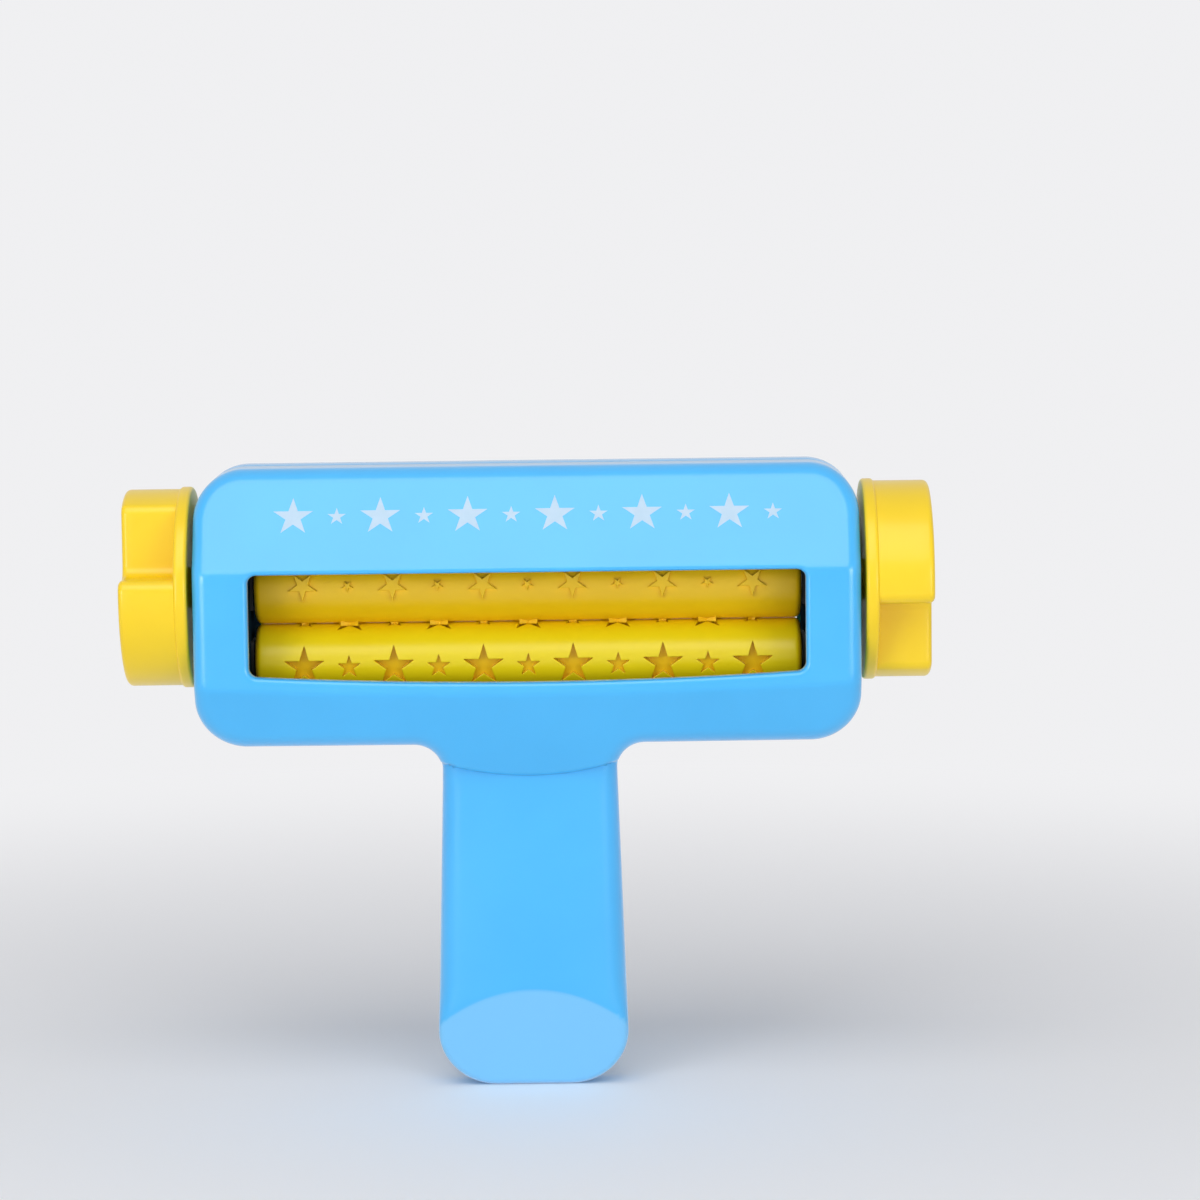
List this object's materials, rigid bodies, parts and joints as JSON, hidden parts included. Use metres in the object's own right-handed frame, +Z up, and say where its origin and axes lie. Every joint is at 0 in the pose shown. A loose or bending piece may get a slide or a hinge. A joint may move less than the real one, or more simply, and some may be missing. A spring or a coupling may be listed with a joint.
{
  "type": "paper crimper",
  "caption": "Hand-held paper crimper: knobs turn a geared pair of star-patterned rollers that emboss a strip of card fed through the mouth of a T-shaped housing.",
  "frame": {"origin": "centre of the flat end of the handle, below the middle of the housing", "axes": "X along the two rollers, -Y towards the front with the printed side, +Z up the handle to the housing"},
  "size_m": [0.1794, 0.046, 0.1405],
  "materials": {
    "housing_plastic": "moulded sky-blue plastic, glossy",
    "roller_plastic": "moulded yellow plastic, glossy",
    "knob_plastic": "moulded yellow plastic, glossy",
    "shaft_steel": "drawn bar",
    "gear_plastic": "natural acetal",
    "bush_plastic": "natural acetal",
    "screw_steel": "zinc plated"
  },
  "bodies": {
    "housing": {"front_shell": "housing_plastic", "rear_shell": "housing_plastic", "shell_screws": "screw_steel", "left_upper_bush": "bush_plastic", "right_upper_bush": "bush_plastic", "left_lower_bush": "bush_plastic", "right_lower_bush": "bush_plastic"},
    "drive_train": {"drive_roller": "roller_plastic", "drive_shaft": "shaft_steel", "left_drive_gear": "gear_plastic", "right_drive_gear": "gear_plastic", "left_knob": "knob_plastic", "right_knob": "knob_plastic", "left_knob_screw": "screw_steel", "right_knob_screw": "screw_steel", "left_knob_washer": "screw_steel", "right_knob_washer": "screw_steel"},
    "driven_train": {"driven_roller": "roller_plastic", "driven_shaft": "shaft_steel", "left_driven_gear": "gear_plastic", "right_driven_gear": "gear_plastic"}
  },
  "joints": [
    {"name": "drive_roller_spin", "type": "hinge", "parent": "housing", "child": "drive_train", "pos_m": [0, 0, 0.1135], "axis": [1, 0, 0], "continuous": true},
    {"name": "driven_roller_spin", "type": "hinge", "parent": "housing", "child": "driven_train", "pos_m": [0, 0, 0.0965], "axis": [1, 0, 0], "continuous": true}
  ],
  "couplings": [
    {"joint": "driven_roller_spin", "follows": "drive_roller_spin", "ratio": -1}
  ]
}
